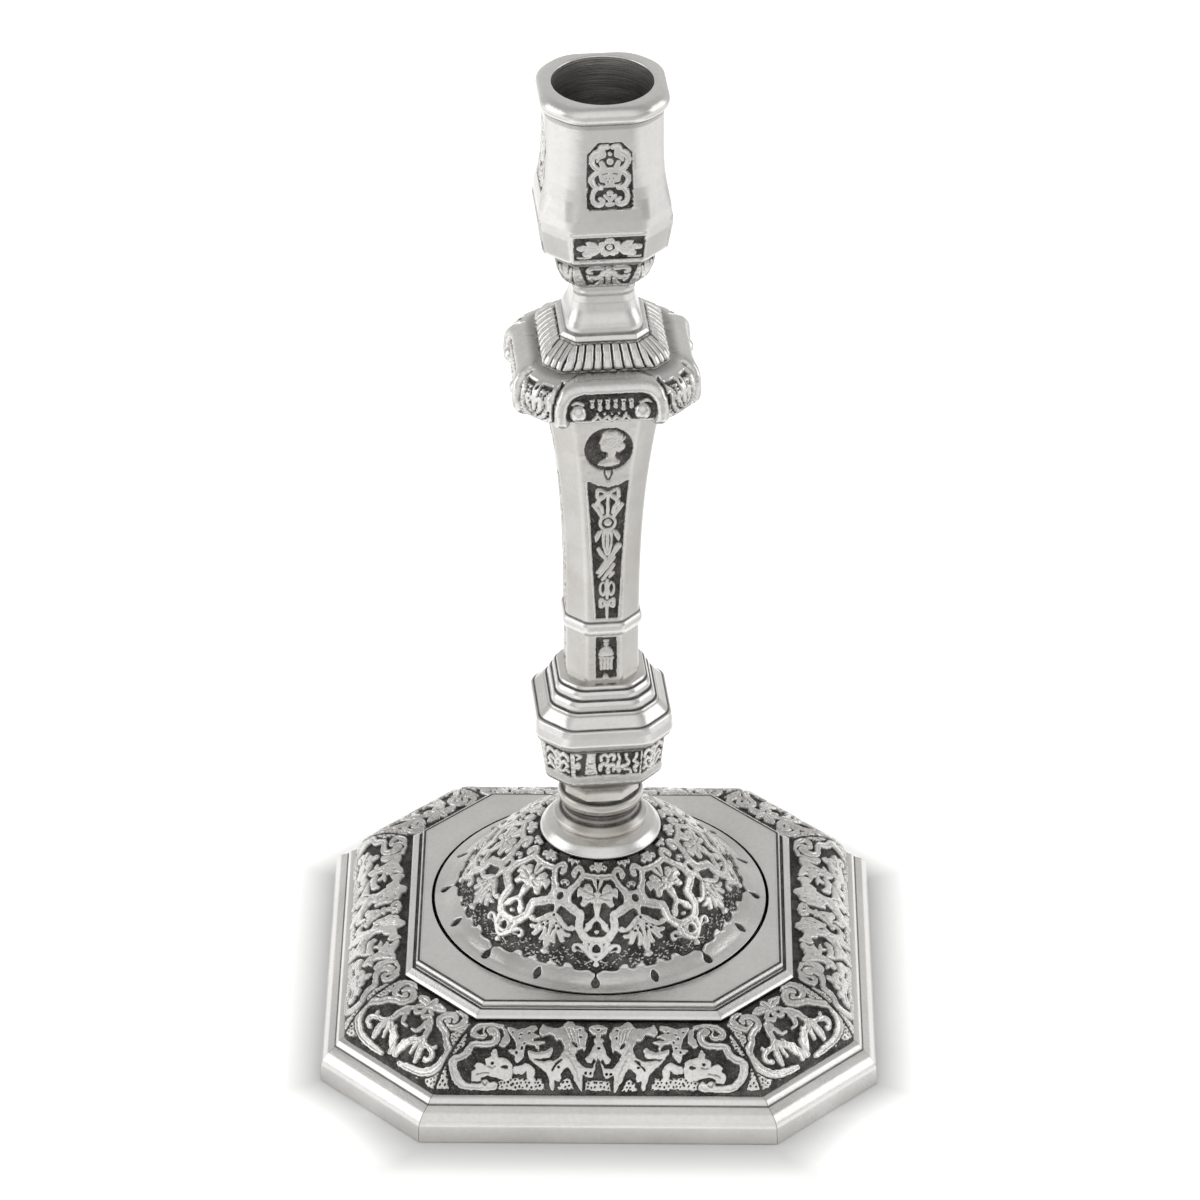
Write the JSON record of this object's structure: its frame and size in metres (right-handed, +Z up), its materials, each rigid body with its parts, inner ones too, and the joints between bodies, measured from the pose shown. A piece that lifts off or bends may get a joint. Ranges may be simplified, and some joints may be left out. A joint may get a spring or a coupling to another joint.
{
  "type": "candlestick",
  "caption": "Octagonal cast metal candlestick with a chased stepped base, faceted baluster stem and bored candle socket.",
  "frame": {"origin": "centre of the base's underside, on the surface that the candlestick stands on", "axes": "+Z up along the stem and the candle bore; -Y towards the front face of the base, +X to the right"},
  "size_m": [0.13, 0.13, 0.2426],
  "materials": {
    "polished_silver": "satin polished silver, fine brushing",
    "chased_silver": "chased silver relief on an oxidised matted ground",
    "tinted_silver": "turned silver with a faint brown tint at the solder joints",
    "steel": "plain turned steel fastener"
  },
  "bodies": {
    "root": {"skirt_front": "polished_silver", "skirt_front_right": "polished_silver", "skirt_right": "polished_silver", "skirt_back_right": "polished_silver", "skirt_back": "polished_silver", "skirt_back_left": "polished_silver", "skirt_left": "polished_silver", "skirt_front_left": "polished_silver", "frieze": "chased_silver", "plateau_frame": "polished_silver", "plateau_field": "polished_silver", "dome": "chased_silver", "collar_foot": "polished_silver", "collar_rings": "tinted_silver", "stem_spool": "tinted_silver", "knop": "chased_silver", "knop_cap": "polished_silver", "pedestal": "polished_silver", "astragal": "polished_silver", "shaft": "polished_silver", "shoulder": "chased_silver", "shoulder_pearls": "polished_silver", "gadroon_cap": "chased_silver", "neck": "polished_silver", "socket_cup": "chased_silver", "socket_base": "polished_silver", "socket_body": "polished_silver", "socket_rim": "polished_silver", "tie_rod": "steel", "tie_washer": "steel", "tie_nut": "steel"}
  },
  "joints": []
}
